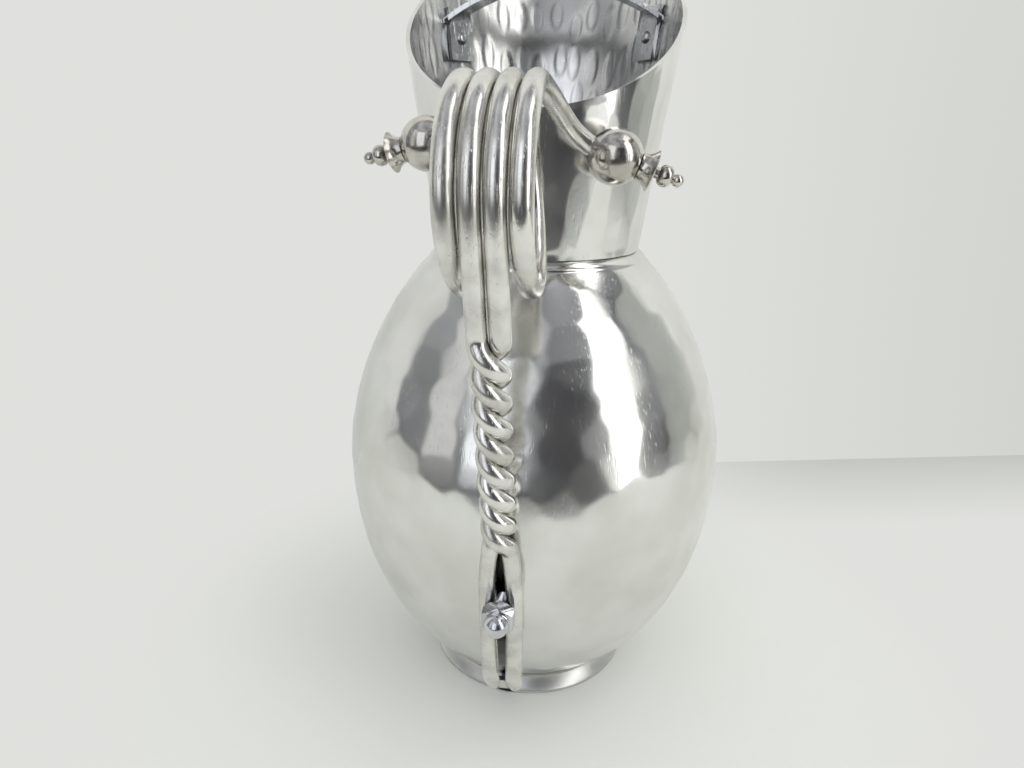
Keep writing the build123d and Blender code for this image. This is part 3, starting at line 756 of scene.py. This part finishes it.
for name in sides:
    centre, axis = ball_centres[name], finial_axes[name]
    swing = np.linspace(-np.pi / 2, np.pi / 2, 50)[1:-1]
    ball_offsets, ball_radii = ball_radius * np.sin(swing), ball_radius * np.cos(swing)
    ball = turned_about(centre, axis, ball_offsets, ball_radii, ball_turns)
    ball_poles = (centre - axis * ball_radius, centre + axis * ball_radius)
    ball_mesh = turned_mesh(f"ball_{name}", ball, poles=ball_poles)
    fit(f"turned_ball_{name}", ball_mesh, turned_aluminium, "turned_aluminium", f"finial_ball_{name}")
    flare = np.linspace(0, 1, 14)
    outer_radii = cup_waist_radius + (cup_rim_radius - cup_waist_radius) * flare**cup_curve
    inner_radii = outer_radii - cup_wall + cup_edge * flare
    outer_offsets = cup_base + (cup_rim_offset - cup_base) * flare
    inner_offsets = outer_offsets + cup_edge
    cup_floor = ball_radius + seat_gap
    cup_bore = stem_radius + stem_clearance
    cup_offsets = [*outer_offsets, *inner_offsets[::-1], cup_floor + cup_wall, cup_floor]
    cup_radii = [*outer_radii, *inner_radii[::-1], cup_bore, cup_bore]
    cup = turned_about(centre, axis, cup_offsets, cup_radii, small_turns)
    cup_mesh = turned_mesh(f"cup_{name}", cup, closed=True)
    cup_mesh.set_sharp_from_angle(angle=np.radians(50))
    fit(f"flared_cup_{name}", cup_mesh, turned_aluminium, "turned_aluminium", f"finial_cup_{name}")
    bulge = np.linspace(-np.pi / 2, np.pi / 2, 18)
    bead_offsets = bead_offset + bead_half * np.sin(bulge)
    bead_radii = stem_radius + bead_foot + (bead_radius - stem_radius - bead_foot) * np.cos(bulge)
    swell = np.linspace(tip_start, np.pi / 2, 16)[:-1]
    stem_end = ball_radius - stem_depth
    tip_offsets = [stem_end, stem_shoulder, *bead_offsets, *(tip_offset + tip_radius * np.sin(swell))]
    tip_radii = [stem_radius, stem_radius, *bead_radii, *(tip_radius * np.cos(swell))]
    tip = turned_about(centre, axis, tip_offsets, tip_radii, small_turns)
    tip_poles = (centre + axis * stem_end, centre + axis * (tip_offset + tip_radius))
    tip_mesh = turned_mesh(f"tip_{name}", tip, poles=tip_poles)
    tip_mesh.set_sharp_from_angle(angle=np.radians(50))
    fit(f"beaded_tip_{name}", tip_mesh, turned_aluminium, "turned_aluminium", f"finial_tip_{name}")

# Screws and washers: inside the neck one slotted screw with a flat washer holds each ball.
# Both are plated like the nut, and they hardly show through the mouth.
fit("ball_screws", merged_copy("finial_screws", 25), plated_steel, "plated_steel", "finial_screws")
fit("ball_washers", merged_copy("finial_washers", 25), plated_steel, "plated_steel", "finial_washers")

# Table top and wall: plain off-white board, not part of the pitcher. The wall stands close behind
# it for the daylight and the reflections, and is hidden from the camera, which sees the room's
# paper tone there.


def matt_board(name, colour):
    """Plain unglazed board."""
    material = bpy.data.materials.new(name)
    material.use_nodes = True
    shader = material.node_tree.nodes["Principled BSDF"]
    shader.inputs["Base Color"].default_value = (*colour, 1)
    shader.inputs["Roughness"].default_value = 0.9
    shader.inputs["Specular IOR Level"].default_value = 0.1
    return material


def board(name, corners, material):
    """Flat board through four corners, not part of the pitcher."""
    mesh = bpy.data.meshes.new(name)
    mesh.from_pydata(corners, [], [(0, 1, 2, 3)])
    mesh.materials.append(material)
    piece = bpy.data.objects.new(name, mesh)
    bpy.context.scene.collection.objects.link(piece)
    return piece


# Close to the pitcher the table is lit as it stands. Further out the camera sees it in the same
# paper tone as the room, and only a faint line is left behind it on the right.
paper = (0.745, 0.752, 0.725, 1)
paper_in_shade = (0.55, 0.565, 0.53, 1)
table_colour = (0.84, 0.85, 0.82)
wall_colour = (0.86, 0.86, 0.84)
wall_left = (-1.30, -0.131)
wall_right = (0.62, 0.343)
wall_slant = (wall_right[1] - wall_left[1]) / (wall_right[0] - wall_left[0])
wall_top = 0.9
table_left = -1.3
table_right = 1.1
table_front = -0.42
shade_depth = 0.10
shade_right = 0.22
glow_start = 0.09
glow_full = 0.21
table_board = matt_board("table_board", table_colour)
nodes, links = table_board.node_tree.nodes, table_board.node_tree.links


def ramp(value, low, high, kind="SMOOTHSTEP"):
    """Rises from 0 to 1 while a value goes from low to high."""
    rise = nodes.new("ShaderNodeMapRange")
    rise.interpolation_type = kind
    rise.inputs["From Min"].default_value = low
    rise.inputs["From Max"].default_value = high
    links.new(value, rise.inputs["Value"])
    return rise.outputs["Result"]


def product(first, second):
    """One value times another."""
    times = nodes.new("ShaderNodeMath")
    times.operation = "MULTIPLY"
    for value, socket in zip((first, second), times.inputs):
        links.new(value, socket)
    return times.outputs["Value"]


place = nodes.new("ShaderNodeTexCoord").outputs["Object"]
distance = nodes.new("ShaderNodeVectorMath")
distance.operation = "LENGTH"
links.new(place, distance.inputs[0])
behind = nodes.new("ShaderNodeVectorMath")
behind.operation = "DOT_PRODUCT"
behind.inputs[1].default_value = (-wall_slant, 1, 0)
links.new(place, behind.inputs[0])
beside = nodes.new("ShaderNodeSeparateXYZ")
links.new(place, beside.inputs["Vector"])
wall_line = wall_left[1] - wall_slant * wall_left[0]
near_wall = ramp(behind.outputs["Value"], wall_line - shade_depth, wall_line, "LINEAR")
in_shade = product(near_wall, ramp(beside.outputs["X"], 0.0, shade_right))
far_tone = nodes.new("ShaderNodeMix")
far_tone.data_type = "RGBA"
far_tone.inputs["A"].default_value = paper
far_tone.inputs["B"].default_value = paper_in_shade
links.new(in_shade, far_tone.inputs["Factor"])
far_glow = nodes.new("ShaderNodeEmission")
links.new(far_tone.outputs["Result"], far_glow.inputs["Color"])
seen = nodes.new("ShaderNodeLightPath").outputs["Is Camera Ray"]
far_off = product(ramp(distance.outputs["Value"], glow_start, glow_full), seen)
both = nodes.new("ShaderNodeMixShader")
links.new(far_off, both.inputs["Fac"])
links.new(nodes["Principled BSDF"].outputs["BSDF"], both.inputs[1])
links.new(far_glow.outputs["Emission"], both.inputs[2])
links.new(both.outputs["Shader"], nodes["Material Output"].inputs["Surface"])
front_corners = [(table_left, table_front, 0), (table_right, table_front, 0)]
board("table_top", [*front_corners, (*wall_right, 0), (*wall_left, 0)], table_board)
wall_corners = [(*wall_left, 0), (*wall_right, 0), (*wall_right, wall_top), (*wall_left, wall_top)]
back_wall = board("back_wall", wall_corners, matt_board("wall_board", wall_colour))
back_wall.visible_camera = False

# Room light: even daylight on all that is matt, and a dim room with windows and a lamp that the
# metal mirrors. The camera sees neither, only the paper tone of the backdrop.
room = bpy.data.worlds.new("room")
bpy.context.scene.world = room
room.use_nodes = True
room_nodes, room_links = room.node_tree.nodes, room.node_tree.links
backing = room_nodes["Background"]
daylight = (0.95, 0.955, 0.94, 1)
# Painted shade: the backdrop's paper tone, as the camera sees it, is painted darker towards the right.
backdrop_painted_shade_right = (0.64, 0.66, 0.615, 1)
ray_kind = room_nodes.new("ShaderNodeLightPath")
look = room_nodes.new("ShaderNodeTexCoord")
parts = room_nodes.new("ShaderNodeSeparateXYZ")
height_of = room_nodes.new("ShaderNodeMapRange")
height_of.inputs["From Min"].default_value = -0.3
height_of.inputs["From Max"].default_value = 1.0
layers = room_nodes.new("ShaderNodeValToRGB")
layers.color_ramp.elements[0].position = 0.0
layers.color_ramp.elements[0].color = (0.10, 0.10, 0.105, 1)
layers.color_ramp.elements[1].position = 1.0
layers.color_ramp.elements[1].color = (0.42, 0.43, 0.45, 1)
middle = layers.color_ramp.elements.new(0.55)
middle.color = (0.24, 0.245, 0.26, 1)
clutter = room_nodes.new("ShaderNodeTexNoise")
clutter.inputs["Scale"].default_value = 2.2
clutter.inputs["Detail"].default_value = 3
shade = room_nodes.new("ShaderNodeMapRange")
shade.inputs["From Min"].default_value = 0.35
shade.inputs["From Max"].default_value = 0.65
shade.inputs["To Min"].default_value = 0.45
shade.inputs["To Max"].default_value = 1.6
furnished = room_nodes.new("ShaderNodeVectorMath")
furnished.operation = "SCALE"
room_links.new(look.outputs["Generated"], parts.inputs["Vector"])
room_links.new(parts.outputs["Z"], height_of.inputs["Value"])
room_links.new(height_of.outputs["Result"], layers.inputs["Fac"])
room_links.new(look.outputs["Generated"], clutter.inputs["Vector"])
room_links.new(clutter.outputs["Fac"], shade.inputs["Value"])
room_links.new(layers.outputs["Color"], furnished.inputs[0])
room_links.new(shade.outputs["Result"], furnished.inputs["Scale"])
shown = furnished.outputs["Vector"]
to_the_right = room_nodes.new("ShaderNodeMapRange")
to_the_right.inputs["From Min"].default_value = 0.0
to_the_right.inputs["From Max"].default_value = 0.5
room_links.new(parts.outputs["X"], to_the_right.inputs["Value"])
backdrop = room_nodes.new("ShaderNodeMix")
backdrop.data_type = "RGBA"
backdrop.inputs["A"].default_value = paper
backdrop.inputs["B"].default_value = backdrop_painted_shade_right
room_links.new(to_the_right.outputs["Result"], backdrop.inputs["Factor"])
for kind, colour in (("Is Diffuse Ray", daylight), ("Is Camera Ray", None)):
    choice = room_nodes.new("ShaderNodeMix")
    choice.data_type = "RGBA"
    room_links.new(ray_kind.outputs[kind], choice.inputs["Factor"])
    room_links.new(shown, choice.inputs["A"])
    if colour:
        choice.inputs["B"].default_value = colour
    else:
        room_links.new(backdrop.outputs["Result"], choice.inputs["B"])
    shown = choice.outputs["Result"]
room_links.new(shown, backing.inputs["Color"])
backing.inputs["Strength"].default_value = 1.0


def card(name, centre, width, tall, aim, colour, strength):
    """Glowing or dark card that the metal mirrors and the camera doesn't see."""
    material = bpy.data.materials.new(name)
    material.use_nodes = True
    nodes, links = material.node_tree.nodes, material.node_tree.links
    nodes.remove(nodes["Principled BSDF"])
    glow = nodes.new("ShaderNodeEmission")
    glow.inputs["Color"].default_value = (*colour, 1)
    glow.inputs["Strength"].default_value = strength
    links.new(glow.outputs["Emission"], nodes["Material Output"].inputs["Surface"])
    facing = (Vector(aim) - Vector(centre)).normalized()
    turned = facing.to_track_quat("Z", "Y").to_matrix().to_4x4()
    place = Matrix.Translation(Vector(centre)) @ turned
    corners = []
    for x, y in ((-1, -1), (1, -1), (1, 1), (-1, 1)):
        corners.append(tuple(place @ Vector((x * width / 2, y * tall / 2, 0))))
    board(name, corners, material).visible_camera = False


body_middle = np.array([0, 0, 0.14])
card_reach = 1.5
room_cards = {
    "window_right": (63, 22, 22, 62, (1.0, 1.0, 0.98), 2.6),
    "window_left": (-49, 22, 17, 54, (1.0, 1.0, 1.0), 0.80),
    "open_door": (-15, 20, 30, 52, (0.92, 0.95, 1.0), 1.4),
    "side_wall": (116, 14, 40, 56, (0.97, 1.0, 0.95), 0.50),
    "dark_coat": (27, 12, 26, 50, (0.10, 0.10, 0.11), 0.6),
    "lamp": (88, 62, 26, 16, (1.0, 1.0, 1.0), 2.2),
}
for name, (azimuth, rise, wide, tall, colour, strength) in room_cards.items():
    size = [2 * card_reach * np.tan(np.radians(angle / 2)) for angle in (wide, tall)]
    centre = tuple(body_middle + direction(azimuth, rise) * card_reach)
    card(name, centre, *size, tuple(body_middle), colour, strength)

# Camera: close to the pitcher, a little to the right of the handle and looking down on it.
# Its place and turn were solved from the photograph's outlines.
camera_place = Vector((0.035565, -0.289653, 0.228614))
camera_right = Vector((0.98708581, 0.159623, 0.01349458))
camera_up = Vector((-0.06431844, 0.31776201, 0.94598649))
camera_back = camera_right.cross(camera_up)
lens = bpy.data.cameras.new("camera")
lens.lens = 24.61
lens.sensor_width = 36.0
lens.clip_start = 0.01
lens.clip_end = 20.0
camera = bpy.data.objects.new("camera", lens)
bpy.context.scene.collection.objects.link(camera)
camera_turn = Matrix((camera_right, camera_up, camera_back)).transposed().to_4x4()
camera.matrix_world = Matrix.Translation(camera_place) @ camera_turn
bpy.context.scene.camera = camera
bpy.context.scene.view_settings.view_transform = "Standard"
